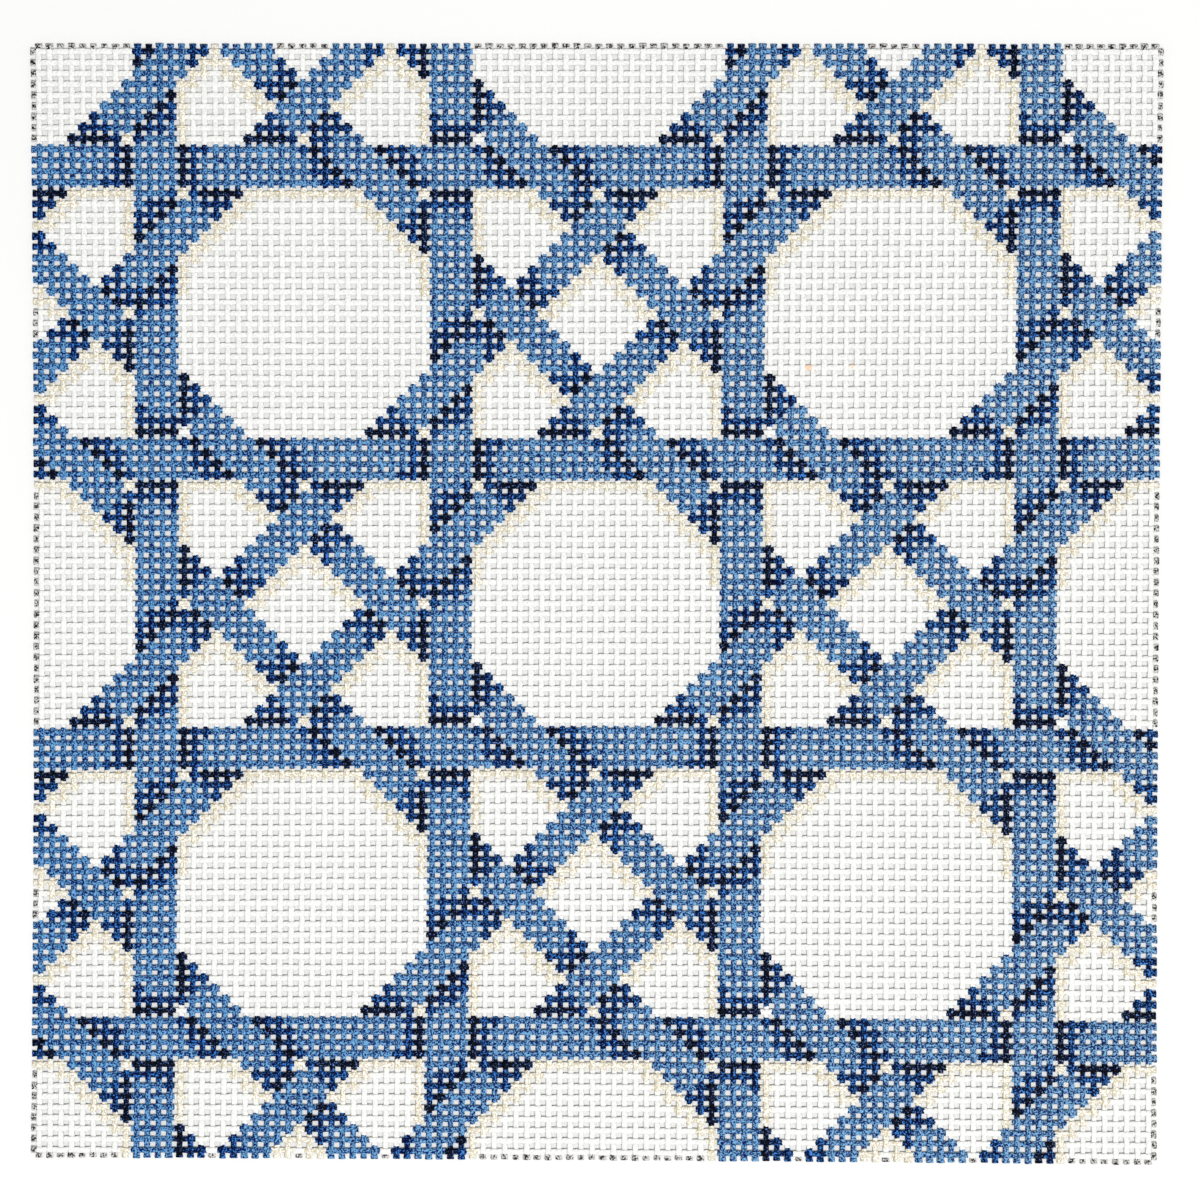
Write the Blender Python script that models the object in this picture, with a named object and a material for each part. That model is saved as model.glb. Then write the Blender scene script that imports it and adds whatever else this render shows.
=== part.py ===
"""A square panel of painted needlepoint canvas, lying flat with its painted face up.

The canvas is one sheet of open plain weave, trimmed a little outside its outermost threads,
so the ends of the cut threads stand out along all four sides like the teeth of a fine comb.
+X runs to the right and +Y to the top of the painted pattern, and +Z up out of the cloth.
The origin is under the middle of the sheet, on the surface that the sheet lies on.
"""

import math

import bmesh
import bpy
from mathutils import Vector

MM = 0.001

# Driving dimensions, in metres
THREADS_PER_SIDE = 103
THREAD_WIDTH = 1.0 * MM
SHEET_THICKNESS = 1.0 * MM  # two threads pressed flat, one over the other
CUT_FROM_THREAD = 1.42 * MM  # from the middle of the outermost thread to the cut
CUT_UNEVENNESS = 0.1 * MM  # how far the thread ends are longer or shorter than that
WELD_DISTANCE = 0.01 * MM
FACE_CUTS = 10  # the sheet's large faces are divided into squares by this many cuts each way
FACE_CUT_SPACING = 20.0 * MM

# Where the outermost threads cross, and where they meet the middle threads, right and up from
# the middle of the canvas. The sheet is a little skewed: wide at its top, low at its right.
TOP_LEFT = Vector((-100.3, 99.3)) * MM
TOP_MIDDLE = Vector((0.4, 99.3)) * MM
TOP_RIGHT = Vector((100.4, 99.2)) * MM
MIDDLE_LEFT = Vector((-99.7, 0.1)) * MM
MIDDLE_RIGHT = Vector((99.5, 0.0)) * MM
BOTTOM_LEFT = Vector((-100.2, -97.9)) * MM
BOTTOM_MIDDLE = Vector((-0.9, -98.4)) * MM
BOTTOM_RIGHT = Vector((99.1, -99.2)) * MM

CANVAS_COLOUR = (0.58, 0.67, 0.80, 1.0)  # white cotton and blue paint, seen together
CANVAS_ROUGHNESS = 0.85

RIGHT = Vector((1.0, 0.0))
UP = Vector((0.0, 1.0))


def start_collection(name):
    """Remove what the file holds and return an empty collection for the panel."""
    for old in list(bpy.data.objects):
        bpy.data.objects.remove(old, do_unlink=True)
    collection = bpy.data.collections.new(name)
    bpy.context.scene.collection.children.link(collection)
    return collection


def cloth_material(name):
    """Matt painted cotton in the panel's overall colour."""
    material = bpy.data.materials.new(name)
    material.use_nodes = True
    shader = material.node_tree.nodes["Principled BSDF"]
    shader.inputs["Base Color"].default_value = CANVAS_COLOUR
    shader.inputs["Roughness"].default_value = CANVAS_ROUGHNESS
    shader.inputs["Metallic"].default_value = 0.0
    return material


def along_side(start, middle, end, share):
    """The point at that share of a side, on the parabola through its three points."""
    from_start = (1.0 - share) * (1.0 - 2.0 * share)
    from_middle = 4.0 * share * (1.0 - share)
    from_end = share * (2.0 * share - 1.0)
    return start * from_start + middle * from_middle + end * from_end


def cut_length(number):
    """How far thread end `number` of a side reaches past the outermost thread's middle."""
    waver = math.sin(2.3 * number) + math.sin(0.7 * number + 1.0)
    return CUT_FROM_THREAD + CUT_UNEVENNESS * waver / 2.0


def side_outline(start, middle, end, forward, outward):
    """The outline of one side, tooth by tooth: four corners for each cut thread end."""
    half = THREAD_WIDTH / 2.0
    points = []
    for number in range(THREADS_PER_SIDE):
        crossing = along_side(start, middle, end, number / (THREADS_PER_SIDE - 1))
        near = outward * half
        far = outward * cut_length(number)
        points.append(crossing - forward * half + near)
        points.append(crossing - forward * half + far)
        points.append(crossing + forward * half + far)
        points.append(crossing + forward * half + near)
    return points[:-1]  # the next side starts at this one's last point


def sheet_outline():
    """The whole outline, anticlockwise from the bottom left corner, centred on its own box."""
    outline = side_outline(BOTTOM_LEFT, BOTTOM_MIDDLE, BOTTOM_RIGHT, RIGHT, -UP)
    outline += side_outline(BOTTOM_RIGHT, MIDDLE_RIGHT, TOP_RIGHT, UP, RIGHT)
    outline += side_outline(TOP_RIGHT, TOP_MIDDLE, TOP_LEFT, -RIGHT, UP)
    outline += side_outline(TOP_LEFT, MIDDLE_LEFT, BOTTOM_LEFT, -UP, -RIGHT)
    across = [point.x for point in outline]
    upward = [point.y for point in outline]
    centre = Vector((min(across) + max(across), min(upward) + max(upward))) / 2.0
    return [point - centre for point in outline]


def divide_faces(work):
    """Remake the two large faces from even triangles, with no long slivers along the sides."""
    for side in (1.0, -1.0):
        filled = [
            face
            for face in work.faces
            if all(corner.co.z * side > 0.0 for corner in face.verts)
        ]
        bmesh.ops.dissolve_faces(work, faces=filled)
    for direction in (Vector((1.0, 0.0, 0.0)), Vector((0.0, 1.0, 0.0))):
        for number in range(FACE_CUTS):
            from_middle = (number - (FACE_CUTS - 1) / 2.0) * FACE_CUT_SPACING
            bmesh.ops.bisect_plane(
                work,
                geom=work.verts[:] + work.edges[:] + work.faces[:],
                dist=WELD_DISTANCE,
                plane_co=direction * from_middle,
                plane_no=direction,
            )
    bmesh.ops.triangulate(work, faces=work.faces[:], ngon_method="BEAUTY")


def flat_sheet(name, outline, thickness, collection, material):
    """A filled curve of the outline, as thick as the cloth, made one closed mesh."""
    curve = bpy.data.curves.new(name, "CURVE")
    curve.dimensions = "2D"
    curve.fill_mode = "BOTH"
    curve.extrude = thickness / 2.0
    spline = curve.splines.new("POLY")
    spline.points.add(len(outline) - 1)
    for control, point in zip(spline.points, outline, strict=True):
        control.co = (point.x, point.y, 0.0, 1.0)
    spline.use_cyclic_u = True
    guide = bpy.data.objects.new(name + "_outline", curve)
    collection.objects.link(guide)
    guide.location.z = thickness / 2.0
    bpy.context.view_layer.update()

    evaluated = guide.evaluated_get(bpy.context.evaluated_depsgraph_get())
    mesh = bpy.data.meshes.new_from_object(evaluated)
    mesh.name = name
    work = bmesh.new()
    work.from_mesh(mesh)
    bmesh.ops.remove_doubles(work, verts=work.verts, dist=WELD_DISTANCE)
    divide_faces(work)
    bmesh.ops.recalc_face_normals(work, faces=work.faces)
    work.to_mesh(mesh)
    work.free()
    mesh.materials.clear()
    mesh.materials.append(material)

    sheet = bpy.data.objects.new(name, mesh)
    sheet.matrix_world = guide.matrix_world.copy()
    collection.objects.link(sheet)
    bpy.data.objects.remove(guide, do_unlink=True)
    return sheet


def main():
    collection = start_collection("needlepoint_canvas_panel")
    painted_cotton = cloth_material("painted_canvas")
    flat_sheet(
        "canvas_panel", sheet_outline(), SHEET_THICKNESS, collection, painted_cotton
    )


main()
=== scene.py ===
"""Looks of a painted needlepoint canvas panel, woven thread by thread in place of its plain sheet.

The canvas is mono: 103 upright threads and 103 level threads of white cotton in plain weave, one
over and one under, with open holes between them. Every crossing is one stitch of the chart, and
the chart is the old six-way cane webbing lattice in three blues, with a cream light under each
strand. The work is a flat square, lying face up: +X is the pattern's right and +Y its top.
"""

import logging
import math
from collections.abc import Callable, Mapping
from dataclasses import dataclass, field
from enum import Enum

import bmesh
import bpy
import numpy as np
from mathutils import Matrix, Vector


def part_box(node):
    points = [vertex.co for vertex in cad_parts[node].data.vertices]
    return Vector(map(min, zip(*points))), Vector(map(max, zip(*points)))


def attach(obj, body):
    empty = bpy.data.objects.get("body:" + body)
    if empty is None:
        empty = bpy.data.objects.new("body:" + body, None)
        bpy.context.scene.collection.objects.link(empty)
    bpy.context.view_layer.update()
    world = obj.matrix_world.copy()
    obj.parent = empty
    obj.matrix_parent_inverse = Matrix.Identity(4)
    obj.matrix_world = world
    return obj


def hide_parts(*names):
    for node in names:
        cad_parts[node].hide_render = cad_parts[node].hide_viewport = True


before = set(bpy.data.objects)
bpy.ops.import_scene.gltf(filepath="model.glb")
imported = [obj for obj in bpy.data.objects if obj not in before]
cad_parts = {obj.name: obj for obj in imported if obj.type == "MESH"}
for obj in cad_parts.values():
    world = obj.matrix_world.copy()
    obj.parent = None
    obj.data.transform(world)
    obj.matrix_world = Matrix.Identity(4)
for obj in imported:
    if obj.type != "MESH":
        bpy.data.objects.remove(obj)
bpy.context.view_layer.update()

MM = 0.001
BODY = "root"
SHEET_NODE = "canvas_panel"
BAKE_MAP = "OFBake"
THREADS_PER_SIDE = 103
WELD_DISTANCE = 0.01 * MM
HALFWAY = 0.5  # from one crossing to the next, or from one paint's code to the next

Colour = tuple[float, float, float]
Point = tuple[float, float]

log = logging.getLogger("needlepoint_canvas")


def linear(*levels: int) -> Colour:
    """A screen's colour as the linear light that shaders take.

    Args:
        *levels: The screen's red, green and blue, from 0 to 255.

    Returns:
        The three linear values, from 0 to 1.
    """
    shares = (level / 255.0 for level in levels)
    return tuple(
        share / 12.92 if share <= 0.04045 else ((share + 0.055) / 1.055) ** 2.4 for share in shares
    )


# ---- The chart ----


class Paint(Enum):
    """What a stitch, or a cut thread end, is painted with. The value is its code on a thread."""

    BARE = 0
    CREAM = 1
    LIGHT_BLUE = 2
    MID_BLUE = 3
    NAVY = 4
    INK = 5


Shading = Mapping[int, tuple[tuple[int, int, Paint], ...]]
QUARTERS = 4
N, M = Paint.NAVY, Paint.MID_BLUE
# The dark stitches of the repeat's top quarter, row by row, as runs from one column to another.
# Columns count to the right and rows down, from the middle of the small diamond. The other three
# quarters are quarter turns of this one.
TOP_QUARTER: Shading = {
    # the level strand's shadow above itself, on the slanting strand that goes under it
    -18: ((8, 8, M),),
    -17: ((7, 9, M),),
    -16: ((6, 9, N), (10, 10, M)),
    # shadows on the level strand: of the slanting strand's two edges, and of the upright strand
    -15: ((-11, -11, M), (-10, -10, N), (-4, -4, N), (-3, -2, M), (10, 10, M), (11, 11, N)),
    -14: ((-10, -10, M), (-9, -9, N), (-3, -3, N), (-2, -1, M), (10, 10, M), (11, 11, N)),
    -13: ((-10, -9, M), (-8, -8, N), (-2, -2, N), (-1, -1, M), (10, 10, M), (11, 11, N)),
    -12: ((-9, -8, M), (-7, -7, N), (-2, -2, M), (-1, -1, N), (0, 0, M), (9, 10, M), (11, 11, N)),
    # the level strand's shadow below itself
    -11: ((-2, -1, M), (1, 1, M), (2, 5, N)),
    -10: ((-4, -2, M), (-1, -1, N), (2, 4, M)),
    -9: ((-3, -3, M), (-2, -2, N), (3, 3, M)),
    # the shadow of one slanting strand on the other, where they cross over the diamond
    -7: ((2, 2, N), (3, 3, M)),
    -6: ((1, 1, N), (2, 4, M)),
    -5: ((1, 2, M),),
    -4: ((2, 2, M),),
}


@dataclass(frozen=True)
class CaneChart:
    """The painted chart: upright, level and slanting strands of cane, woven into one lattice."""

    stitches: int = THREADS_PER_SIDE
    repeat: int = 54
    straight_near: int = 12  # an upright or level strand's stitches, counted from the diamond
    straight_far: int = 15
    slant_near: int = 6  # a slanting strand's, counted along a row
    slant_far: int = 10
    plain_side: int = 16  # the column beside an octagon's upright side, with no cream in it
    cream_ends: int = -2  # the last row of cream there
    quarter: Shading = field(default_factory=lambda: TOP_QUARTER)

    def shading(self) -> Mapping[tuple[int, int], Paint]:
        """The dark stitches of the top quarter.

        Returns:
            The paint of each (column, row) that the quarter's runs cover.
        """
        return {
            (column, row): paint
            for row, runs in self.quarter.items()
            for first, last, paint in runs
            for column in range(first, last + 1)
        }

    def fold(self, column: int, row: int) -> tuple[int, int]:
        """Bring a stitch into the one repeat that the chart describes.

        Args:
            column: Stitches to the right of the middle one.
            row: Stitches below the middle one.

        Returns:
            Its column and row from the middle of the diamond of its repeat.
        """
        half = self.repeat // 2

        def wrap(count: int) -> int:
            """The count within one repeat."""
            return (count + half - 1) % self.repeat - (half - 1)

        falling = wrap(column + row + half)
        rising = wrap(column - row - half)
        return (falling + rising) // 2, (falling - rising) // 2

    def on_strand(self, column: int, row: int) -> bool:
        """Tell whether a folded stitch lies on a strand of cane.

        Args:
            column: The folded column.
            row: The folded row.

        Returns:
            True on any of the four kinds of strand.
        """
        straight = range(self.straight_near, self.straight_far + 1)
        slant = range(self.slant_near, self.slant_far + 1)
        return (
            abs(column) in straight
            or abs(row) in straight
            or abs(column - row) in slant
            or abs(column + row) in slant
        )

    def paint_of(self, column: int, row: int, dark: Mapping[tuple[int, int], Paint]) -> Paint:
        """The paint of one stitch.

        Args:
            column: Stitches to the right of the middle one.
            row: Stitches below the middle one.
            dark: What shading() returns.

        Returns:
            The stitch's paint.
        """
        x, y = turned_x, turned_y = self.fold(column, row)
        for _ in range(QUARTERS):
            if (turned_x, turned_y) in dark:
                return dark[turned_x, turned_y]
            turned_x, turned_y = -turned_y, turned_x
        if self.on_strand(x, y):
            return Paint.LIGHT_BLUE
        strand_above = any(
            self.on_strand(*self.fold(column + aside, row - 1)) for aside in (-1, 0, 1)
        )
        beside_octagon = abs(x) == self.plain_side and y > self.cream_ends
        return Paint.CREAM if strand_above and not beside_octagon else Paint.BARE

    def codes(self) -> np.ndarray:
        """The whole chart.

        Returns:
            The paint codes, by upright thread from the left and level thread from the bottom.
        """
        dark = self.shading()
        half = self.stitches // 2
        return np.array(
            [
                [
                    self.paint_of(across - half, half - up, dark).value
                    for up in range(self.stitches)
                ]
                for across in range(self.stitches)
            ]
        )


# ---- The cloth ----


@dataclass(frozen=True)
class ClothLie:
    """How the cloth lies: a square of canvas that has shifted a little on its bias.

    The nine crossings, at the corners, the middles of the sides and the middle, are in
    millimetres to the right and up from the canvas's middle.
    """

    threads: int = THREADS_PER_SIDE
    top: tuple[Point, Point, Point] = ((-100.3, 99.3), (0.4, 99.3), (100.4, 99.2))
    middle: tuple[Point, Point, Point] = ((-99.7, 0.1), (-0.2, 0.2), (99.5, 0.0))
    bottom: tuple[Point, Point, Point] = ((-100.2, -97.9), (-0.9, -98.4), (99.1, -99.2))
    ripple: tuple[float, float] = (0.4 * MM, 0.45 * MM)  # how far it strays between those
    cut_from_thread: float = 1.42 * MM  # from the middle of the outermost thread to the cut
    cut_unevenness: float = 0.1 * MM
    cut_waves: tuple[Point, Point] = ((2.3, 0.0), (0.7, 1.0))  # radians to a thread, and at first

    @property
    def last(self) -> int:
        """The number of the last thread, counted from 0."""
        return self.threads - 1

    @staticmethod
    def weights(share: np.ndarray) -> np.ndarray:
        """How much of a row's three points goes into the point at that share of it.

        Args:
            share: Shares from 0 to 1.

        Returns:
            Three weights for each share, on the parabola through the points.
        """
        return np.array(
            [
                (1.0 - share) * (1.0 - 2.0 * share),
                4.0 * share * (1.0 - share),
                share * (2.0 * share - 1.0),
            ]
        )

    def place(self, across: np.ndarray, up: np.ndarray) -> np.ndarray:
        """Where the cloth's threads cross.

        Args:
            across: Upright threads from the left, whole or in between.
            up: Level threads from the bottom, whole or in between.

        Returns:
            Their places in metres, one row of (x, y) each.
        """
        share_across = across / self.last
        share_up = up / self.last
        rows = np.array([self.bottom, self.middle, self.top]) * MM
        found = np.einsum(
            "rn,cn,rcd->nd", self.weights(share_up), self.weights(share_across), rows
        )
        aside, upward = self.ripple
        found[:, 0] += aside * np.sin(math.tau * share_across) * np.sin(math.pi * share_up)
        found[:, 1] += upward * np.sin(math.tau * share_up) * np.sin(math.pi * share_across)
        return found

    def cut_length(self, number: np.ndarray) -> np.ndarray:
        """How far a cut thread reaches past the middle of the outermost thread that it crosses.

        Args:
            number: The thread ends' numbers, along their side.

        Returns:
            The lengths in metres.
        """
        waver = sum(np.sin(speed * number + start) for speed, start in self.cut_waves)
        return self.cut_from_thread + self.cut_unevenness * waver / len(self.cut_waves)

    def middle_of_box(self) -> np.ndarray:
        """The middle of the box round all the cut thread ends.

        Returns:
            Its x and y in metres.
        """
        every = np.arange(self.threads, dtype=float)
        low, high = np.zeros_like(every), np.full_like(every, self.last)
        left = self.place(low, every)[:, 0] - self.cut_length(self.last - every)
        right = self.place(high, every)[:, 0] + self.cut_length(every)
        below = self.place(every, low)[:, 1] - self.cut_length(every)
        above = self.place(every, high)[:, 1] + self.cut_length(self.last - every)
        return np.array([left.min() + right.max(), below.min() + above.max()]) / 2.0


class Run(Enum):
    """Which way a thread runs through the cloth."""

    WARP = "upright"
    WEFT = "level"


@dataclass(frozen=True)
class Yarn:
    """One cotton thread of the canvas, pressed flat in the weave, and how unevenly it lies."""

    width: float = 1.04 * MM
    height: float = 0.42 * MM
    squareness: float = 3.2  # of its section: 2 is an ellipse
    pitch: float = 1.95 * MM  # from thread to thread: 13 to the inch
    rise: float = 0.2 * MM  # how far its middle goes up and down from the cloth's
    lie_up: float = 0.04 * MM  # how far the cloth's middle is above the middle of the sheet
    float_half: float = 0.36 * MM  # half the length that lies level over or under a thread
    sides: int = 8
    dome: float = 0.08 * MM  # how far a cut end bulges
    dome_inset: float = 0.16 * MM
    end_lift: float = 0.35  # how much of the last crossing's rise a cut end keeps
    fray: tuple[float, float] = (1.35, 0.8)  # how much wider and thinner its tip is
    sideways: float = 0.035 * MM  # how far it strays, as a rule
    swelling: float = 0.07  # how much it swells or thins, as a share of its thickness
    most: float = 2.0  # how many times as far or as much it does so at most
    quick_share: float = 0.45  # the part of either that changes at every crossing
    slow_share: float = 0.55  # the part that drifts
    slow_reach: int = 4  # crossings to each side that the drift is evened out over
    seed: int = 13

    def model(self, name: str, threads: int) -> bpy.types.Object:
        """Model one straight thread along +X, with a ring of corners at each side of a crossing.

        Args:
            name: The new object's name.
            threads: How many threads it crosses. The first one lies at x = 0.

        Returns:
            The closed thread.
        """
        gap = self.pitch - 2.0 * self.float_half
        bpy.ops.object.select_all(action="DESELECT")
        bpy.ops.mesh.primitive_circle_add(
            vertices=self.sides,
            radius=self.width / 2.0,
            fill_type="NOTHING",
            location=(-self.float_half - gap, 0.0, 0.0),
            rotation=(0.0, math.pi / 2.0, 0.0),
        )
        thread = bpy.context.object
        thread.name = name
        bpy.ops.object.transform_apply(location=True, rotation=True, scale=True)
        bpy.ops.object.mode_set(mode="EDIT")
        bpy.ops.mesh.select_all(action="SELECT")
        bpy.ops.transform.rotate(
            value=math.pi / self.sides, orient_axis="X", center_override=(0.0, 0.0, 0.0)
        )
        bpy.ops.transform.resize(value=(1.0, 1.0, self.height / self.width))
        extrude_along_x(gap)
        extrude_along_x(2.0 * self.float_half)
        bpy.ops.object.mode_set(mode="OBJECT")
        repeat_along(thread, Vector((self.pitch, 0.0, 0.0)), threads, merge=True)

        start, end = -self.float_half, (threads - 1) * self.pitch + self.float_half
        clear = gap / 2.0
        select_corners(thread, lambda corner: corner.x > end - clear)
        bpy.ops.object.mode_set(mode="EDIT")
        extrude_along_x(gap)
        for is_end in (
            lambda corner: corner.x < start - clear,
            lambda corner: corner.x > end + clear,
        ):
            bpy.ops.object.mode_set(mode="OBJECT")
            select_corners(thread, is_end)
            bpy.ops.object.mode_set(mode="EDIT")
            bpy.ops.mesh.edge_face_add()
        bpy.ops.mesh.select_all(action="SELECT")
        bpy.ops.mesh.normals_make_consistent(inside=False)
        bpy.ops.mesh.select_all(action="DESELECT")
        bpy.ops.mesh.select_face_by_sides(number=self.sides, type="EQUAL")
        bpy.ops.mesh.inset(thickness=self.dome_inset, depth=self.dome, use_individual=True)
        bpy.ops.object.mode_set(mode="OBJECT")
        return thread

    def pressed(self, aside: np.ndarray, height: np.ndarray) -> tuple[np.ndarray, np.ndarray]:
        """Press a round thread's section nearly square, as the canvas is sized and rolled.

        Args:
            aside: Places across the thread.
            height: Places up the thread.

        Returns:
            Where they go.
        """
        half_width, half_height = self.width / 2.0, self.height / 2.0
        away = np.hypot(aside / half_width, height / half_height)
        turn = np.arctan2(height / half_height, aside / half_width)

        def squared(part: np.ndarray) -> np.ndarray:
            """The section's curve, one way."""
            return np.sign(part) * np.abs(part) ** (2.0 / self.squareness)

        return (
            half_width * away * squared(np.cos(turn)),
            half_height * away * squared(np.sin(turn)),
        )


def extrude_along_x(distance: float) -> None:
    """Extrude what is selected in edit mode along +X by that distance."""
    bpy.ops.mesh.extrude_region_move(TRANSFORM_OT_translate={"value": (distance, 0.0, 0.0)})


def select_corners(thing: bpy.types.Object, chosen: Callable[[Vector], bool]) -> None:
    """Select a mesh's corners by their place, and nothing else, for edit mode to act on.

    Args:
        thing: The mesh object, in object mode.
        chosen: A test of a corner's place.
    """
    mesh = bmesh.new()
    mesh.from_mesh(thing.data)
    for face in mesh.faces:
        face.select_set(False)
    for edge in mesh.edges:
        edge.select_set(False)
    for corner in mesh.verts:
        corner.select_set(chosen(corner.co))
    for edge in mesh.edges:
        edge.select_set(all(corner.select for corner in edge.verts))
    mesh.to_mesh(thing.data)
    mesh.free()


def repeat_along(thing: bpy.types.Object, step: Vector, count: int, merge: bool) -> None:
    """Repeat a mesh in a row, as one mesh.

    Args:
        thing: The mesh object.
        step: From one copy to the next.
        count: The number of copies, the first among them.
        merge: Whether copies that meet are joined where they meet.
    """
    bpy.context.view_layer.objects.active = thing
    array = thing.modifiers.new("row", "ARRAY")
    array.count = count
    array.use_relative_offset = False
    array.use_constant_offset = True
    array.constant_offset_displace = step
    array.use_merge_vertices = merge
    array.merge_threshold = WELD_DISTANCE
    bpy.ops.object.modifier_apply(modifier=array.name)


def read(items: bpy.types.bpy_prop_collection, key: str, width: int = 1) -> np.ndarray:
    """Read one property of many mesh elements.

    Args:
        items: The mesh's vertices, loops or polygons.
        key: The property.
        width: How many numbers each has.

    Returns:
        An array with a row for each element, or flat where the width is 1.
    """
    is_whole = key in ("vertex_index", "loop_start", "loop_total")
    kind = np.int32 if is_whole else np.float32
    found = np.empty(len(items) * width, kind)
    items.foreach_get(key, found)
    return found if width == 1 else found.reshape(-1, width).astype(float)


@dataclass
class ThreadBundle:
    """Neighbouring threads that run one way through the cloth, woven and painted as one mesh."""

    name: str
    run: Run
    first: int
    last: int
    lie: ClothLie
    codes: np.ndarray = field(repr=False)
    yarn: Yarn = field(default_factory=Yarn)

    @property
    def count(self) -> int:
        """How many threads it has."""
        return self.last - self.first + 1

    def build(self, cotton: bpy.types.Material) -> bpy.types.Object:
        """Args:
            cotton: Its finish.

        Returns:
            The finished piece.
        """
        piece = self.yarn.model(self.name, self.lie.threads)
        repeat_along(piece, Vector((0.0, self.yarn.pitch, 0.0)), self.count, merge=False)
        corners = StraightCorners(piece.data, self.yarn, self.first, self.lie.last)
        self.note_paint(piece.data, corners)
        corners.unroll(piece.data, self.first, self.count)
        corners.write(piece.data, 0 if self.run is Run.WARP else self.lie.threads)
        self.weave(piece.data, corners)
        piece.data.materials.append(cotton)
        bpy.ops.object.select_all(action="DESELECT")
        piece.select_set(True)
        bpy.context.view_layer.objects.active = piece
        bpy.ops.object.shade_smooth()
        self.declare(piece)
        return piece

    def ends_and_stitches(self) -> np.ndarray:
        """The paint codes along each of its threads.

        A cut end has its stitch's paint, or the ink of the drawn cutting line where that stitch
        was left bare.

        Returns:
            A row for each thread: its first end, its stitches and its last end.
        """
        along = self.codes if self.run is Run.WARP else self.codes.T
        along = along[self.first : self.last + 1]
        ends = np.where(along == Paint.BARE.value, Paint.INK.value, along)
        return np.concatenate([ends[:, :1], along, ends[:, -1:]], axis=1)

    def note_paint(self, mesh: bpy.types.Mesh, corners: "StraightCorners") -> None:
        """Write on each face the paint of the stitch before it and of the one after it.

        Args:
            mesh: The bundle's mesh.
            corners: Its corners in the straight cloth.
        """
        codes = self.ends_and_stitches()
        starts = read(mesh.polygons, "loop_start")
        corner_of = read(mesh.loops, "vertex_index")
        along = corners.crossings[corner_of]
        before = np.rint(np.minimum.reduceat(along, starts))
        after = np.rint(np.maximum.reduceat(along, starts))
        after = np.where(before < 0, before, after)
        before = np.where(after > self.lie.last, after, before)
        thread = corners.thread[corner_of[starts]] - self.first
        for key, crossing in (("paint_here", before), ("paint_next", after)):
            layer = mesh.attributes.new(key, "FLOAT", "FACE")
            found = codes[thread, crossing.astype(int) + 1]
            layer.data.foreach_set("value", found.astype(np.float32))

    def weave(self, mesh: bpy.types.Mesh, corners: "StraightCorners") -> None:
        """Move the straight threads' corners over and under each other and into the cloth's lie.

        Args:
            mesh: The bundle's mesh.
            corners: Its corners in the straight cloth.
        """
        yarn, lie = self.yarn, self.lie
        crossing = np.clip(np.rint(corners.crossings), 0, lie.last)
        on_top = (corners.thread + crossing) % 2 == (1 if self.run is Run.WARP else 0)
        past, is_end = corners.past, corners.at_ends
        rise = np.where(on_top, yarn.rise, -yarn.rise) * np.where(is_end, yarn.end_lift, 1.0)

        sideways, swelling = self.unevenness()
        knot = crossing.astype(int)
        swell = 1.0 + swelling[corners.thread, knot]
        aside, height = yarn.pressed(corners.aside, corners.height)
        wider, thinner = (np.where(is_end, factor, 1.0) for factor in yarn.fray)
        aside = aside * wider * swell + sideways[corners.thread, knot]
        height = height * thinner * np.sqrt(swell) + rise

        opposite = lie.last - corners.thread
        starts_low = self.run is Run.WARP
        number_before = corners.thread if starts_low else opposite
        number_after = opposite if starts_low else corners.thread
        number = np.where(past < 0.0, number_before, number_after)
        model_length = yarn.pitch - yarn.float_half + yarn.dome
        reach = lie.cut_length(number) - model_length + np.abs(past) * yarn.pitch
        beyond = np.where(is_end, np.sign(past) * reach, past * yarn.pitch)

        within = np.clip(corners.crossings, 0, lie.last)
        thread = corners.thread.astype(float)
        if self.run is Run.WARP:
            ground = lie.place(thread, within) + np.stack([-aside, beyond], axis=1)
        else:
            ground = lie.place(within, thread) + np.stack([beyond, aside], axis=1)
        low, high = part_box(SHEET_NODE)
        middle = (low + high) / 2.0
        ground += np.array(middle.xy) - lie.middle_of_box()
        places = np.column_stack([ground, middle.z + yarn.lie_up + height])
        mesh.vertices.foreach_set("co", places.astype(np.float32).ravel())
        mesh.update()

    def unevenness(self) -> tuple[np.ndarray, np.ndarray]:
        """How the threads of this run wander and swell, from crossing to crossing.

        Returns:
            Sideways shifts in metres and swellings as a share, by thread and crossing.
        """
        yarn = self.yarn
        chance = np.random.default_rng([yarn.seed, list(Run).index(self.run)])
        shape = (self.lie.threads, self.lie.threads)
        reach, span = yarn.slow_reach, 2 * yarn.slow_reach + 1

        def wander(size: float) -> np.ndarray:
            """Draw a quick unevenness and a slow one along each thread.

            Args:
                size: How large the two are together, as a rule.

            Returns:
                Their sum, by thread and crossing.
            """
            quick = chance.normal(size=shape)
            padded = np.pad(chance.normal(size=shape), ((0, 0), (reach, reach)), mode="reflect")
            near = np.stack([padded[:, step : step + shape[1]] for step in range(span)])
            slow = near.mean(axis=0) * math.sqrt(span)
            both = yarn.quick_share * quick + yarn.slow_share * slow
            return size * both.clip(-yarn.most, yarn.most)

        return wander(yarn.sideways), wander(yarn.swelling)

    def declare(self, piece: bpy.types.Object) -> None:
        """Attach the bundle to the body it rides on, and hide the plain sheet that it stands in
        for.

        Args:
            piece: The finished mesh.
        """
        low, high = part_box(SHEET_NODE)
        across, along = (0, 1) if self.run is Run.WARP else (1, 0)
        length = (high - low)[along]
        width = (high - low)[across] * self.count / self.lie.threads
        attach(piece, BODY)
        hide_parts(SHEET_NODE)
        self.count * self.yarn.width * length


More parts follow.
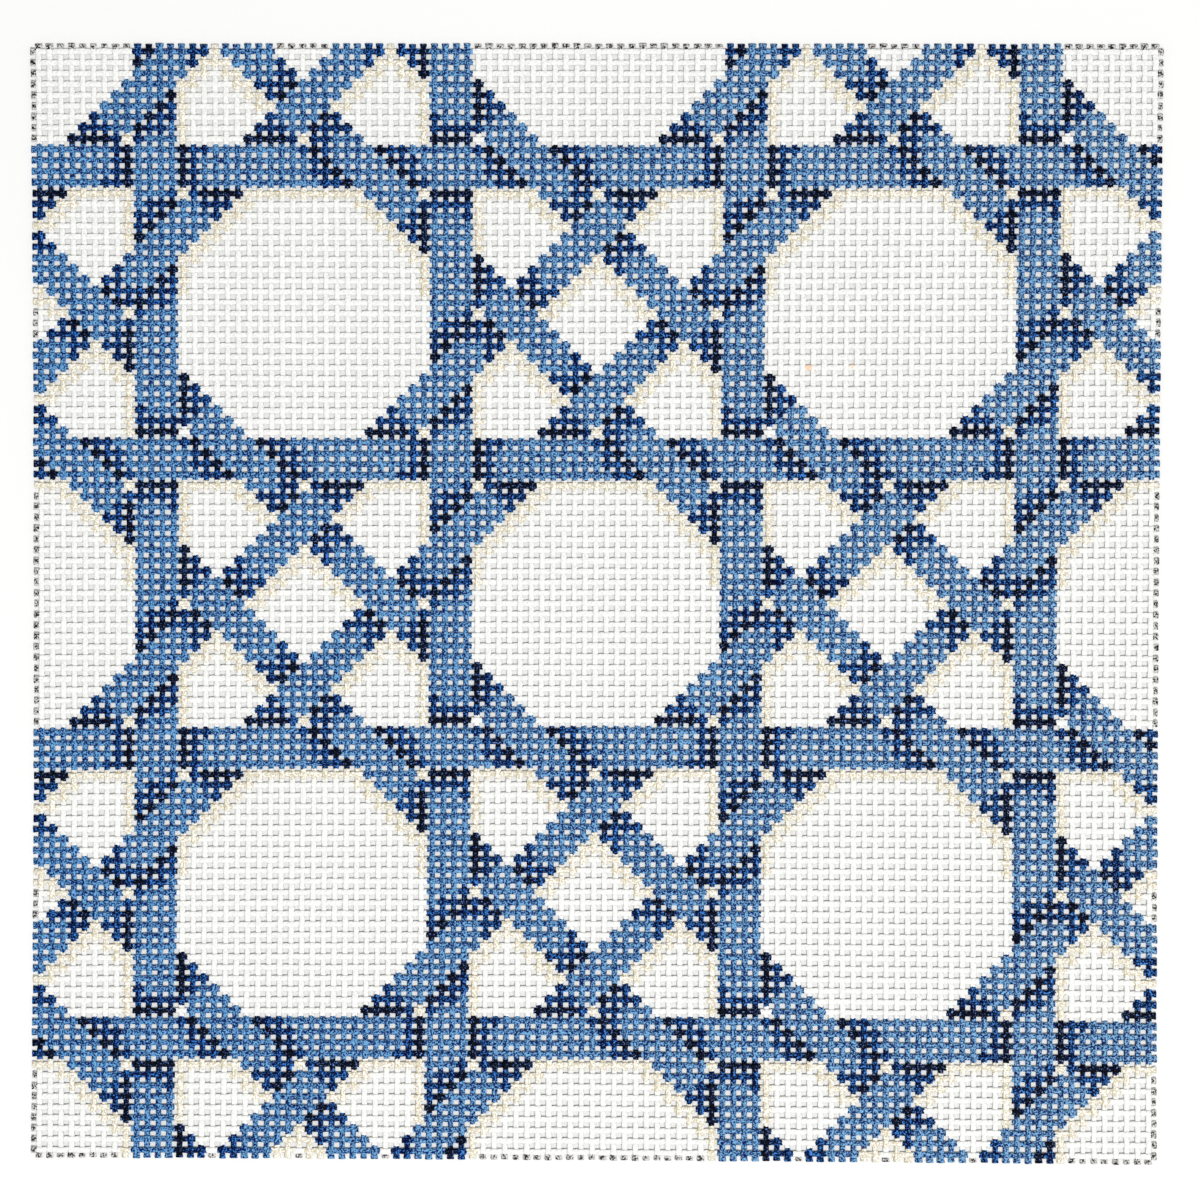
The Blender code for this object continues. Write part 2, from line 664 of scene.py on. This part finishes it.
class StraightCorners:
    """Where a bundle's corners lie in the straight cloth, before it is woven."""

    TOP = 0.25  # a thread's top, in turns about it from its side
    STRIP_SHARE = 0.9  # how much of its lane a strip takes across, and a spot of its space along
    SPOT_SHARE = 0.5  # how much of the lane a spot takes across
    SPOT_SPACE = 0.012  # the share of the map, at each end of the lanes, that spots lie in

    def __init__(self, mesh: bpy.types.Mesh, yarn: Yarn, first: int, last: int) -> None:
        """Read them from the straight threads.

        Args:
            mesh: The bundle's mesh, not yet woven.
            yarn: The thread.
            first: The number of the bundle's first thread.
            last: The number of the cloth's last thread.
        """
        places = read(mesh.vertices, "co", 3)
        number = np.rint(places[:, 1] / yarn.pitch)
        self.yarn = yarn
        self.last = last
        self.thread = number.astype(int) + first
        self.crossings = places[:, 0] / yarn.pitch
        self.aside = places[:, 1] - number * yarn.pitch
        self.height = places[:, 2]

    @property
    def past(self) -> np.ndarray:
        """How far each is past the last thread it crosses, or below 0 before the first one."""
        return self.crossings - np.clip(self.crossings, 0, self.last)

    @property
    def at_ends(self) -> np.ndarray:
        """Whether each belongs to a cut end."""
        return np.abs(self.past) > HALFWAY

    def write(self, mesh: bpy.types.Mesh, first_strand: int) -> None:
        """Keep them on the mesh, for the finish: crossings, then across and up in half widths.

        Args:
            mesh: The bundle's mesh.
            first_strand: What the run's first thread is numbered, after those of the other run.
        """
        lay = np.column_stack(
            [
                self.crossings,
                self.aside / (self.yarn.width / 2.0),
                self.height / (self.yarn.height / 2.0),
            ]
        )
        layer = mesh.attributes.new("lay", "FLOAT_VECTOR", "POINT")
        layer.data.foreach_set("vector", lay.astype(np.float32).ravel())
        strands = mesh.attributes.new("strand", "FLOAT", "POINT")
        strands.data.foreach_set("value", (self.thread + first_strand).astype(np.float32))

    def unroll(self, mesh: bpy.types.Mesh, first: int, count: int) -> None:
        """Lay each thread's skin out as a level strip, with its cut ends as spots beside it.

        Args:
            mesh: The bundle's mesh.
            first: The number of the bundle's first thread.
            count: How many threads it has.
        """
        corner_of = read(mesh.loops, "vertex_index")
        starts = read(mesh.polygons, "loop_start")
        totals = read(mesh.polygons, "loop_total")
        face_of = np.repeat(np.arange(len(starts)), totals)
        aside = (self.aside / self.yarn.width)[corner_of]
        height = (self.height / self.yarn.height)[corner_of]
        turn = np.arctan2(height, aside) / math.tau
        about = np.arctan2(
            np.add.reduceat(height, starts), np.add.reduceat(aside, starts)
        ) / math.tau
        turn = turn - np.rint(turn - about[face_of])
        turn = np.where(about[face_of] < -self.TOP, turn + 1.0, turn)

        space = self.SPOT_SPACE
        along = self.crossings[corner_of]
        share = space + (along + 1.0) / (self.last + 2.0) * (1.0 - 2.0 * space)
        middle = self.thread[corner_of] - first + HALFWAY
        strip = middle + self.STRIP_SHARE * (turn - self.TOP)
        is_spot = np.minimum.reduceat(self.at_ends[corner_of], starts)[face_of]
        spot_middle = np.where(along < 0.0, space / 2.0, 1.0 - space / 2.0)
        share = np.where(is_spot, spot_middle + self.STRIP_SHARE * space * aside, share)
        strip = np.where(is_spot, middle + self.SPOT_SHARE * height, strip)
        flat = np.column_stack([share, strip / count])
        layer = mesh.uv_layers.new(name=BAKE_MAP)
        layer.uv.foreach_set("vector", flat.astype(np.float32).ravel())


# ---- Finishes ----


class Value:
    """A number that a shader works out, for use in Python expressions."""

    def __init__(self, bench: "NodeBench", socket: bpy.types.NodeSocket) -> None:
        """Wrap a socket of the bench's tree."""
        self.bench = bench
        self.socket = socket

    def __add__(self, other: "Value | float") -> "Value":
        """The sum."""
        return self.bench.maths("ADD", self, other)

    __radd__ = __add__

    def __sub__(self, other: "Value | float") -> "Value":
        """The difference."""
        return self.bench.maths("SUBTRACT", self, other)

    def __rsub__(self, other: float) -> "Value":
        """The difference the other way round."""
        return self.bench.maths("SUBTRACT", other, self)

    def __mul__(self, other: "Value | float") -> "Value":
        """The product."""
        return self.bench.maths("MULTIPLY", self, other)

    __rmul__ = __mul__

    def __truediv__(self, other: "Value | float") -> "Value":
        """The quotient."""
        return self.bench.maths("DIVIDE", self, other)

    def __gt__(self, other: "Value | float") -> "Value":
        """1 where it is more than the other, and else 0."""
        return self.bench.maths("GREATER_THAN", self, other)

    def clamped(self) -> "Value":
        """The number, kept between 0 and 1."""
        return self.bench.maths("MINIMUM", self.bench.maths("MAXIMUM", self, 0.0), 1.0)


class NodeBench:
    """Adds nodes to one material."""

    NOISE_DETAIL = 2.0  # how many finer layers lie on a noise
    NOISE_MIDDLE = 0.5
    MIX_UNDER, MIX_OVER, MIX_RESULT = 6, 7, 2  # the Mix node's sockets for colours

    def __init__(self, tree: bpy.types.NodeTree) -> None:
        """Work on that tree."""
        self.tree = tree

    def add(
        self, kind: str, settings: Mapping[str, object], sockets: Mapping[int | str, object]
    ) -> bpy.types.Node:
        """Add a node.

        Args:
            kind: Its type.
            settings: Its own settings, set first. "stops" holds a ramp's (place, colour) pairs.
            sockets: The value, socket or Value of each input, by name or number.

        Returns:
            The new node.
        """
        node = self.tree.nodes.new(kind)
        for key, setting in settings.items():
            if key == "stops":
                self.set_stops(node.color_ramp, setting)
            else:
                setattr(node, key, setting)
        for key, given in sockets.items():
            source = given.socket if isinstance(given, Value) else given
            if isinstance(source, bpy.types.NodeSocket):
                self.tree.links.new(source, node.inputs[key])
            else:
                node.inputs[key].default_value = source
        return node

    @staticmethod
    def set_stops(ramp: bpy.types.ColorRamp, stops: list[tuple[float, object]]) -> None:
        """Give a ramp its stops, each flat up to the next.

        Args:
            ramp: The ramp, as it comes.
            stops: The place of each stop, and its colour with alpha.
        """
        ramp.interpolation = "CONSTANT"
        while len(ramp.elements) < len(stops):
            ramp.elements.new(1.0)
        for element, (place, colour) in zip(ramp.elements, stops, strict=True):
            element.position = place
            element.color = colour

    def maths(self, operation: str, *given: Value | float) -> Value:
        """Add one step of arithmetic.

        Args:
            operation: The Math node's operation.
            *given: Its numbers.

        Returns:
            The result.
        """
        node = self.add("ShaderNodeMath", {"operation": operation}, dict(enumerate(given)))
        return Value(self, node.outputs[0])

    def vectors(
        self, operation: str, sockets: Mapping[int | str, object], result: str = "Vector"
    ) -> bpy.types.NodeSocket:
        """Add one step of arithmetic on places or colours.

        Args:
            operation: The Vector Math node's operation.
            sockets: Its inputs.
            result: The output that holds the result.

        Returns:
            That output.
        """
        node = self.add("ShaderNodeVectorMath", {"operation": operation}, sockets)
        return node.outputs[result]

    def parts(self, vector: bpy.types.NodeSocket) -> list[Value]:
        """The three numbers of a vector."""
        node = self.add("ShaderNodeSeparateXYZ", {}, {0: vector})
        return [Value(self, number) for number in node.outputs]

    def attribute(self, name: str, kind: str = "Fac") -> bpy.types.NodeSocket:
        """One of the mesh's own attributes: a number, or where the kind is Vector a vector."""
        return self.add("ShaderNodeAttribute", {"attribute_name": name}, {}).outputs[kind]

    def noise(self, place: bpy.types.NodeSocket, fineness: float) -> Value:
        """Add soft noise.

        Args:
            place: Where it is read.
            fineness: How fine it is.

        Returns:
            The noise, about 0.
        """
        node = self.add(
            "ShaderNodeTexNoise",
            {},
            {"Vector": place, "Scale": fineness, "Detail": self.NOISE_DETAIL},
        )
        return Value(self, node.outputs["Fac"]) - self.NOISE_MIDDLE

    def mix(self, share: Value, under: object, over: object) -> bpy.types.NodeSocket:
        """Mix two colours.

        Args:
            share: How much of the second shows.
            under: The first colour, or its socket.
            over: The second colour, or its socket.

        Returns:
            The mixed colour.
        """
        sockets = {0: share, self.MIX_UNDER: under, self.MIX_OVER: over}
        node = self.add("ShaderNodeMix", {"data_type": "RGBA"}, sockets)
        return node.outputs[self.MIX_RESULT]


def start_material(name: str) -> tuple[bpy.types.Material, bpy.types.Node]:
    """Start a material.

    Args:
        name: Its name.

    Returns:
        The material and its shader, with nothing set yet.
    """
    made = bpy.data.materials.new(name)
    made.use_nodes = True
    return made, made.node_tree.nodes["Principled BSDF"]


@dataclass(frozen=True)
class Tone:
    """One paint on cotton, as it looks where it lies thin and where it pools. The pooled tone also
    serves as painted shade.
    """

    thin: Colour
    pooled_and_shaded: Colour
    cover: float  # the share that pools, or more than 1 where nearly all of it does


@dataclass(frozen=True)
class Grain:
    """Unevenness in the cotton or its paint: how fine it is, and how much it changes the paint."""

    fineness: float
    strength: float


@dataclass(frozen=True)
class Speck:
    """A small stray spot on the canvas, at its place from the panel's middle."""

    x: float
    y: float
    radius: float
    colour: Colour
    strength: float


TONES: dict[Paint, Tone] = {
    Paint.BARE: Tone(linear(230, 230, 228), linear(213, 213, 210), 0.5),
    Paint.CREAM: Tone(linear(234, 232, 225), linear(190, 181, 156), 0.5),
    Paint.LIGHT_BLUE: Tone(linear(109, 160, 202), linear(0, 22, 82), 0.57),
    Paint.MID_BLUE: Tone(linear(61, 128, 208), linear(0, 2, 42), 1.08),
    Paint.NAVY: Tone(linear(102, 140, 214), linear(0, 3, 18), 1.58),
    Paint.INK: Tone(linear(200, 198, 195), linear(18, 16, 16), 0.5),
}

SPECKS = (
    Speck(38.0 * MM, 42.5 * MM, 0.7 * MM, linear(236, 170, 110), 0.6),
    Speck(45.8 * MM, 42.7 * MM, 0.5 * MM, linear(240, 190, 130), 0.5),
    Speck(-57.9 * MM, -54.5 * MM, 0.32 * MM, linear(40, 38, 40), 0.9),
)


class Skin:
    """The places on a thread's skin that its finish reads."""

    def __init__(self, bench: NodeBench) -> None:
        """Add the nodes that read them.

        Args:
            bench: Where the nodes go.
        """
        self.bench = bench
        self.place = bench.add("ShaderNodeTexCoord", {}, {}).outputs["Object"]
        self.in_mm = bench.vectors("SCALE", {0: self.place, "Scale": 1.0 / MM})
        # crossings along the thread, and across it and up it from -1 to 1
        self.along, self.aside, self.height = bench.parts(bench.attribute("lay", "Vector"))
        self.strand = Value(bench, bench.attribute("strand"))


@dataclass(frozen=True)
class PaintedCotton:
    """Stiff white canvas cotton, painted by hand on its face and bare on its back.

    The paint pools where the cotton's fuzz and fibres hold it. Painted shade darkens the left of
    the upright threads and the top of the level ones and lightens their other sides. It also
    darkens the grooves between the plies, along with the paint that pools there. The blues carry a
    painted glare towards the right.
    """

    tones: Mapping[Paint, Tone] = field(default_factory=lambda: TONES)
    specks: tuple[Speck, ...] = SPECKS
    speck_edge: float = 3.0  # how sharply a speck ends
    upright_threads: int = THREADS_PER_SIDE
    plies: float = 3.0
    lay: float = 1.5  # crossings to one turn of the plies
    blotch: Grain = Grain(0.7, 0.6)  # the brush's, whose fineness is to a millimetre
    fuzz: Grain = Grain(3.6, 6.5)  # the cotton's, to a millimetre too
    fibre: Grain = Grain(2.1, 3.2)  # the long fibres', on the steps below
    fibre_steps: Point = (1.5, 7.3)  # how far that noise goes on at a crossing, and at a thread
    upright_side_shade: float = 0.45  # painted shade: an upright thread darker at its left, lighter at its right
    level_side_shade: float = 0.12  # and a level one darker at its top, lighter below
    level_extra: float = 0.06  # how much more pools on a level thread, all over
    groove_pooling_and_shade: float = 0.12  # how much darker between the plies: paint that pools there, and painted shade
    ink_core: float = 0.35  # how much more ink is in the middle of a cut end
    ink_fall: float = 1.1  # how much less of it is at its edges than in its middle
    edge_fineness: float = 2.4  # of the wandering edges of a paint, to a millimetre
    ragged: float = 0.3  # how far an edge wanders along the thread, in crossings
    ragged_below: float = 1.6  # how far the lower one wanders, in half heights
    paint_reach: float = -0.6  # how far down the thread's sides it goes, from 1 to -1
    # painted glare: the blues' tints at the left and at the right, lighter and greyer at the right
    painted_glare_tints: tuple[Colour, Colour] = ((0.8, 0.92, 0.99), (1.22, 1.08, 1.0))
    painted_glare_reach: float = 200.0 * MM  # how far it is from the one to the other
    bare_roughness: float = 0.9
    paint_roughness: float = 0.55
    specular: float = 0.04
    relief: float = 0.05 * MM
    ply_relief: float = 0.5  # the share of it that the plies have, each way
    fuzz_relief: float = 0.8  # the share that the fuzz has

    def material(self) -> bpy.types.Material:
        """Make the finish.

        Returns:
            The new material. It reads the threads' attributes lay, strand, paint_here and
            paint_next.
        """
        made, shader = start_material("painted_cotton")
        bench = NodeBench(made.node_tree)
        skin = Skin(bench)
        code = self.code(skin)
        twist = self.twist(skin)
        fuzz = bench.noise(skin.in_mm, self.fuzz.fineness)
        thin, thick = (self.ramp(bench, code, depth) for depth in (0, 1))
        soaked = self.ink_core - self.ink_fall * bench.maths("ABSOLUTE", skin.aside)
        # how much of the dark tone shows: paint that pools, painted shade on the threads' sides
        # and in the ply grooves, and the ink of the cut ends
        pooled_and_shaded = (
            Value(bench, thin.outputs["Alpha"])
            + self.mottle_and_side_shade(skin)
            + self.fuzz.strength * fuzz
            - self.groove_pooling_and_shade * twist
            + soaked * self.reaches(code, Paint.INK)
        )
        colour = bench.mix(pooled_and_shaded.clamped(), thin.outputs["Color"], thick.outputs["Color"])
        is_blue = self.reaches(code, Paint.LIGHT_BLUE) - self.reaches(code, Paint.INK)
        # painted glare: the blues lighter and greyer towards the right
        colour = self.shifted(skin, is_blue, colour)
        for speck in self.specks:
            colour = self.stained(skin, speck, fuzz, colour)
        smoothing = self.paint_roughness - self.bare_roughness
        rough = self.bare_roughness + smoothing * self.reaches(code, Paint.CREAM)
        bump = bench.add(
            "ShaderNodeBump",
            {},
            {
                "Strength": 1.0,
                "Distance": self.relief,
                "Height": self.ply_relief * twist + self.fuzz_relief * fuzz,
            },
        )
        for key, source in (
            ("Base Color", colour),
            ("Roughness", rough.socket),
            ("Normal", bump.outputs["Normal"]),
        ):
            made.node_tree.links.new(source, shader.inputs[key])
        shader.inputs["Specular IOR Level"].default_value = self.specular
        return made

    @staticmethod
    def reaches(code: Value, paint: Paint) -> Value:
        """1 where the code is that paint's or a later one's, and else 0."""
        return code > paint.value - HALFWAY

    def mottle_and_side_shade(self, skin: Skin) -> Value:
        """How the share that pools changes with the brush and the fibres, with painted shade
        across each thread.

        Args:
            skin: The thread's skin.

        Returns:
            What is added to the share.
        """
        to_crossing, to_thread = self.fibre_steps
        streaks = skin.bench.add(
            "ShaderNodeCombineXYZ",
            {},
            {0: to_crossing * skin.along, 1: skin.aside, 2: to_thread * skin.strand},
        ).outputs[0]
        is_level = skin.strand > self.upright_threads - HALFWAY
        # painted shade across each thread: darker on one side, lighter on the other
        side_shade = self.upright_side_shade + (self.level_side_shade - self.upright_side_shade) * is_level
        return (
            self.blotch.strength * skin.bench.noise(skin.in_mm, self.blotch.fineness)
            + self.fibre.strength * skin.bench.noise(streaks, self.fibre.fineness)
            + side_shade * skin.aside
            + self.level_extra * is_level
        )

    def shifted(
        self, skin: Skin, is_blue: Value, colour: bpy.types.NodeSocket
    ) -> bpy.types.NodeSocket:
        """Paint glare on the blues: lighter and greyer towards the right, darker and greener
        towards the left.

        Args:
            skin: The thread's skin.
            is_blue: 1 on the blue paints, and else 0.
            colour: The paint's colour.

        Returns:
            The colour with the painted glare.
        """
        bench = skin.bench
        across = bench.parts(skin.place)[0]
        share = (across / self.painted_glare_reach + HALFWAY).clamped()
        glare_tint = bench.mix(share, *((*glare_tint, 1.0) for glare_tint in self.painted_glare_tints))
        glare_tint = bench.mix(is_blue, (1.0, 1.0, 1.0, 1.0), glare_tint)
        return bench.vectors("MULTIPLY", {0: colour, 1: glare_tint})

    def code(self, skin: Skin) -> Value:
        """Choose between the stitch before and the one after, halfway over the hole.

        Args:
            skin: The thread's skin.

        Returns:
            The paint's code, which is bare on the thread's underside.
        """
        bench = skin.bench
        here, following = (
            Value(bench, bench.attribute(name)) for name in ("paint_here", "paint_next")
        )
        stray = bench.noise(skin.in_mm, self.edge_fineness)
        past = bench.maths("FRACT", skin.along) + self.ragged * stray > HALFWAY
        on_face = skin.height + self.ragged_below * stray > self.paint_reach
        return (here + (following - here) * past) * on_face

    def twist(self, skin: Skin) -> Value:
        """The plies that wind round the thread.

        Args:
            skin: The thread's skin.

        Returns:
            A wave from -1 in the grooves to 1 on the plies.
        """
        turn = skin.bench.maths("ARCTAN2", skin.height, skin.aside)
        wound = math.tau * self.plies / self.lay * skin.along
        return skin.bench.maths("SINE", self.plies * turn + wound)

    def ramp(self, bench: NodeBench, code: Value, depth: int) -> bpy.types.Node:
        """The colour of each paint.

        Args:
            bench: Where the nodes go.
            code: The paint's code.
            depth: 0 for where it lies thin, 1 for where it pools and where shade is painted.

        Returns:
            The ramp's node, whose alpha is the share that pools.
        """
        step = 1.0 / len(Paint)
        stops = []
        for paint in Paint:
            tone = self.tones[paint]
            stops.append((paint.value * step, (*(tone.thin, tone.pooled_and_shaded)[depth], tone.cover)))
        return bench.add("ShaderNodeValToRGB", {"stops": stops}, {"Fac": (code + HALFWAY) * step})

    def stained(
        self, skin: Skin, speck: Speck, fuzz: Value, colour: bpy.types.NodeSocket
    ) -> bpy.types.NodeSocket:
        """Put one speck on the canvas.

        Args:
            skin: The thread's skin.
            speck: The speck.
            fuzz: Noise that frays its edge.
            colour: The colour under it.

        Returns:
            The colour with the speck on it.
        """
        bench = skin.bench
        flat = bench.vectors("MULTIPLY", {0: skin.place, 1: (1.0, 1.0, 0.0)})
        distance = bench.vectors("DISTANCE", {0: flat, 1: (speck.x, speck.y, 0.0)}, "Value")
        nearness = 1.0 - Value(bench, distance) / speck.radius + fuzz
        share = speck.strength * (self.speck_edge * nearness).clamped()
        return bench.mix(share, colour, (*speck.colour, 1.0))


@dataclass(frozen=True)
class StudioPaper:
    """The smooth white paper that the panel lies on."""

    colour: Colour = linear(223, 223, 222)
    roughness: float = 0.9
    specular: float = 0.1

    def material(self) -> bpy.types.Material:
        """Make the finish.

        Returns:
            The new material.
        """
        made, shader = start_material("studio_paper")
        shader.inputs["Base Color"].default_value = (*self.colour, 1.0)
        shader.inputs["Roughness"].default_value = self.roughness
        shader.inputs["Specular IOR Level"].default_value = self.specular
        return made


# ---- The studio ----


@dataclass
class Studio:
    """A pale table, a small lamp and an even sky, and a camera that looks straight down.

    The lamp hangs a little to the right of the panel and below it in the picture, so the holes
    are darker along their right and lower sides.
    """

    floor_size: float = 4.0  # in metres, as the lamp's place and size are
    frame_width: float = 215.4 * MM  # what the picture shows of the table, side to side
    aim: Point = (0.54 * MM, 0.72 * MM)
    lens: float = 100.0
    sensor: float = 36.0
    key_place: tuple[float, float, float] = (0.14, -0.31, 1.2)
    key_size: float = 0.14
    key_power: float = 11.8
    sky: float = 0.66
    paper: StudioPaper = StudioPaper()

    def build(self) -> None:
        """Make the floor, the lights and the camera."""
        self.lay_floor()
        self.light()
        self.set_camera()

    def lay_floor(self) -> None:
        """Lay the paper at z = 0."""
        bpy.ops.object.select_all(action="DESELECT")
        bpy.ops.mesh.primitive_plane_add(size=self.floor_size)
        floor = bpy.context.object
        floor.name = "floor"
        floor.data.materials.append(self.paper.material())

    def light(self) -> None:
        """Hang the key light, and light the whole room evenly."""
        key = bpy.data.lights.new("key", "AREA")
        key.shape = "DISK"
        key.size = self.key_size
        key.energy = self.key_power
        lamp = bpy.data.objects.new("key", key)
        bpy.context.scene.collection.objects.link(lamp)
        lamp.location = self.key_place
        lamp.rotation_euler = (-Vector(self.key_place)).to_track_quat("-Z", "Y").to_euler()
        world = bpy.data.worlds.new("room")
        world.use_nodes = True
        bpy.context.scene.world = world
        background = world.node_tree.nodes["Background"]
        background.inputs["Color"].default_value = (1.0, 1.0, 1.0, 1.0)
        background.inputs["Strength"].default_value = self.sky
        bpy.context.scene.view_settings.view_transform = "Standard"

    def set_camera(self) -> None:
        """Hold the camera over the panel, square to it."""
        camera = bpy.data.cameras.new("camera")
        camera.lens = self.lens
        camera.sensor_width = self.sensor
        holder = bpy.data.objects.new("camera", camera)
        bpy.context.scene.collection.objects.link(holder)
        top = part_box(SHEET_NODE)[1].z
        holder.location = (*self.aim, top + self.frame_width * self.lens / self.sensor)
        bpy.context.scene.camera = holder


def main() -> None:
    """Build the studio and the canvas, and report each piece."""
    logging.basicConfig(level=logging.INFO, format="%(name)s: %(message)s")
    Studio().build()
    codes = CaneChart().codes()
    lie = ClothLie()
    half = lie.threads // 2
    cotton = PaintedCotton().material()
    for name, run, first, last in (
        ("warp_left", Run.WARP, 0, half - 1),
        ("warp_right", Run.WARP, half, lie.last),
        ("weft_lower", Run.WEFT, 0, half - 1),
        ("weft_upper", Run.WEFT, half, lie.last),
    ):
        piece = ThreadBundle(name, run, first, last, lie, codes).build(cotton)
        log.info("%s: threads %d to %d, %d faces", name, first, last, len(piece.data.polygons))


if __name__ == "__main__":
    main()
